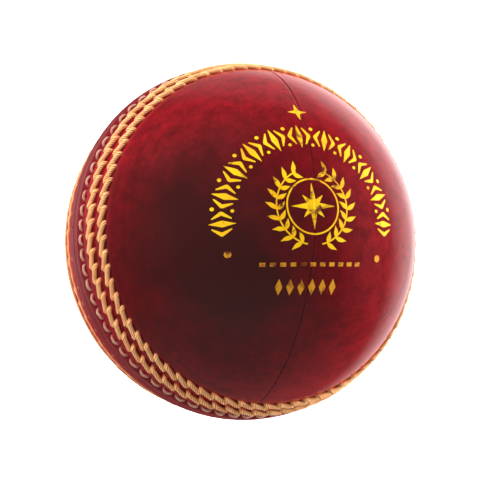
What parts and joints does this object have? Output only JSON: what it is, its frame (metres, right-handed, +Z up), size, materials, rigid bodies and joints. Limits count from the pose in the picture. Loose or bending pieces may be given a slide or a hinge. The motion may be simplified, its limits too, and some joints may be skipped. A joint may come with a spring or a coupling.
{
  "type": "cricket ball",
  "caption": "Cricket ball: stitched leather cover in quarters with a raised seam, over a core of cork layers and wound yarn.",
  "frame": {"origin": "the ball's centre", "axes": "+Z up in the seam's plane, +Y from the stamped front pole to the back pole, +X to the right seen from the front"},
  "size_m": [0.0732, 0.072, 0.0732],
  "materials": {
    "leather": "lacquered, glossy deep red",
    "stitch_thread": "waxed plied linen thread",
    "lining_leather": "raw flesh side",
    "closing_thread": "waxed linen thread",
    "yarn": "undyed wool yarn",
    "cork": "natural cork"
  },
  "bodies": {
    "root": {"cork_nucleus": "cork", "yarn_winding_inner": "yarn", "cork_strip_inner_1": "cork", "cork_strip_inner_2": "cork", "cork_strip_inner_3": "cork", "cork_strip_inner_4": "cork", "yarn_winding_middle": "yarn", "cork_strip_outer_1": "cork", "cork_strip_outer_2": "cork", "cork_strip_outer_3": "cork", "cork_strip_outer_4": "cork", "yarn_winding_outer": "yarn", "quarter_seam_lining_front": "lining_leather", "quarter_seam_lining_back": "lining_leather", "quarter_seam_thread_front": "closing_thread", "quarter_seam_thread_back": "closing_thread", "leather_quarter_front_right": "leather", "leather_quarter_front_left": "leather", "leather_quarter_back_upper": "leather", "leather_quarter_back_lower": "leather", "stitch_row_front_inner": "stitch_thread", "stitch_row_front_middle": "stitch_thread", "stitch_row_front_outer": "stitch_thread", "stitch_row_back_inner": "stitch_thread", "stitch_row_back_middle": "stitch_thread", "stitch_row_back_outer": "stitch_thread"}
  },
  "joints": []
}
